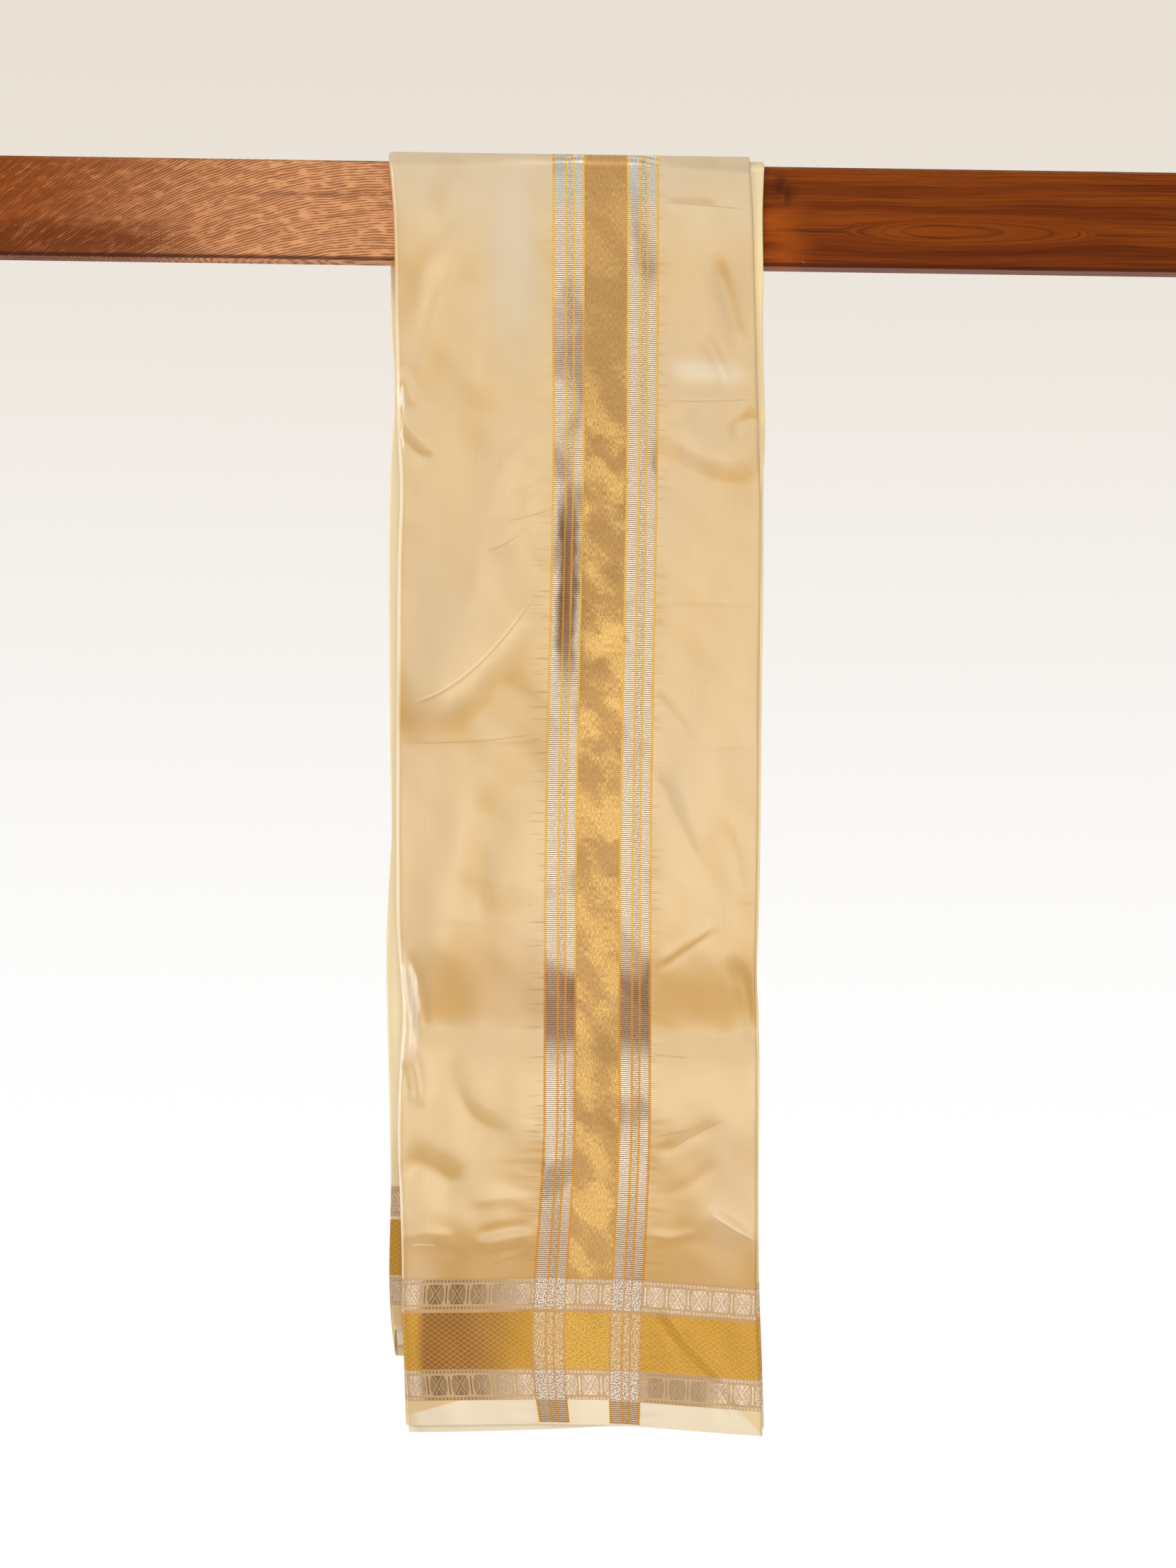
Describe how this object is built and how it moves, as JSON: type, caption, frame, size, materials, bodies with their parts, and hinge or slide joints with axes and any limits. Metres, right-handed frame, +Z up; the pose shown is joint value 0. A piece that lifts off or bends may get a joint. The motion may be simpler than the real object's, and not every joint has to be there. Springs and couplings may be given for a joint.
{
  "type": "folded dhoti cloth on a wooden rail",
  "caption": "Silk dhoti folded in layers along its length and hung over a dressed wooden rail, with front and back falls, stepped hems and layered side folds.",
  "frame": {"origin": "centre of the wooden rail, midway along it, which is what holds the cloth up", "axes": "+X along the rail to the viewer's right, +Y away from the viewer, from the front fall to the back fall, +Z up"},
  "size_m": [1.2, 0.0548, 1.1357],
  "materials": {
    "rail_wood": "dressed, oiled",
    "outer_silk": "satin silk with metallic woven border",
    "under_silk": "satin silk"
  },
  "bodies": {
    "root": {"rail": "rail_wood", "outer_front_fall": "outer_silk", "outer_over_rail": "outer_silk", "outer_back_fall": "outer_silk", "under_front_fall": "under_silk", "under_over_rail": "under_silk", "under_back_fall": "under_silk"}
  },
  "joints": []
}
